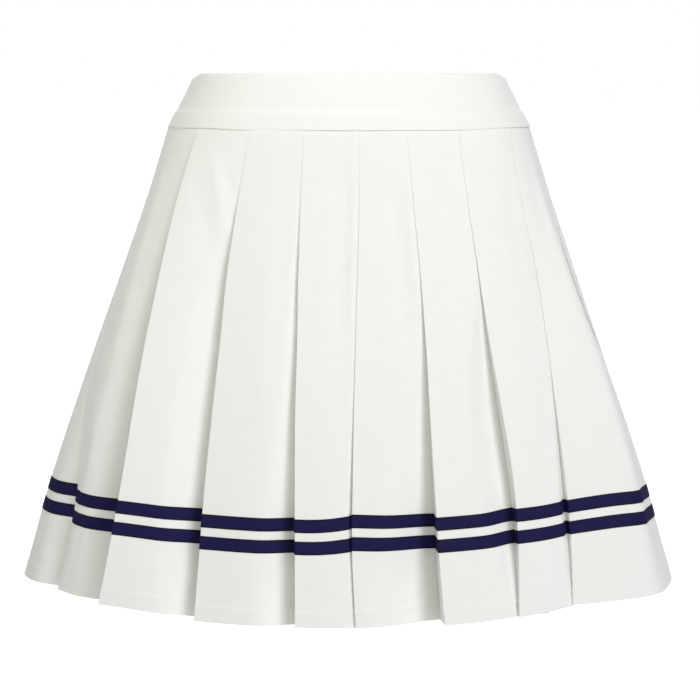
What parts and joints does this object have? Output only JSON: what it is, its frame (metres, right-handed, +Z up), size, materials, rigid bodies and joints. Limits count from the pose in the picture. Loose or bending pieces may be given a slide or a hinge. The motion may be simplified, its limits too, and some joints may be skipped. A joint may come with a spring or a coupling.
{
  "type": "golf skort",
  "caption": "Golf skort held open as if worn: knife-pleated skirt on a shaped waistband, narrow woven bands above the hem, plain shorts inside.",
  "frame": {"origin": "centre of the waistband's top edge, where a wearer's waist holds the garment", "axes": "+Z up out of the waist along the garment's upright axis; the front faces -Y; the wearer's left is +X"},
  "size_m": [0.5326, 0.304, 0.4245],
  "materials": {
    "white_twill": "soft matt off-white twill with a little stretch",
    "white_knit": "smooth matt off-white stretch knit",
    "navy_tape": "navy woven tape with a slight sheen"
  },
  "bodies": {
    "root": {"waistband_front": "white_twill", "waistband_back": "white_twill", "skirt_front": "white_twill", "skirt_back": "white_twill", "tape_upper_front": "navy_tape", "tape_upper_back": "navy_tape", "tape_lower_front": "navy_tape", "tape_lower_back": "navy_tape", "shorts_left_leg": "white_knit", "shorts_right_leg": "white_knit"}
  },
  "joints": []
}
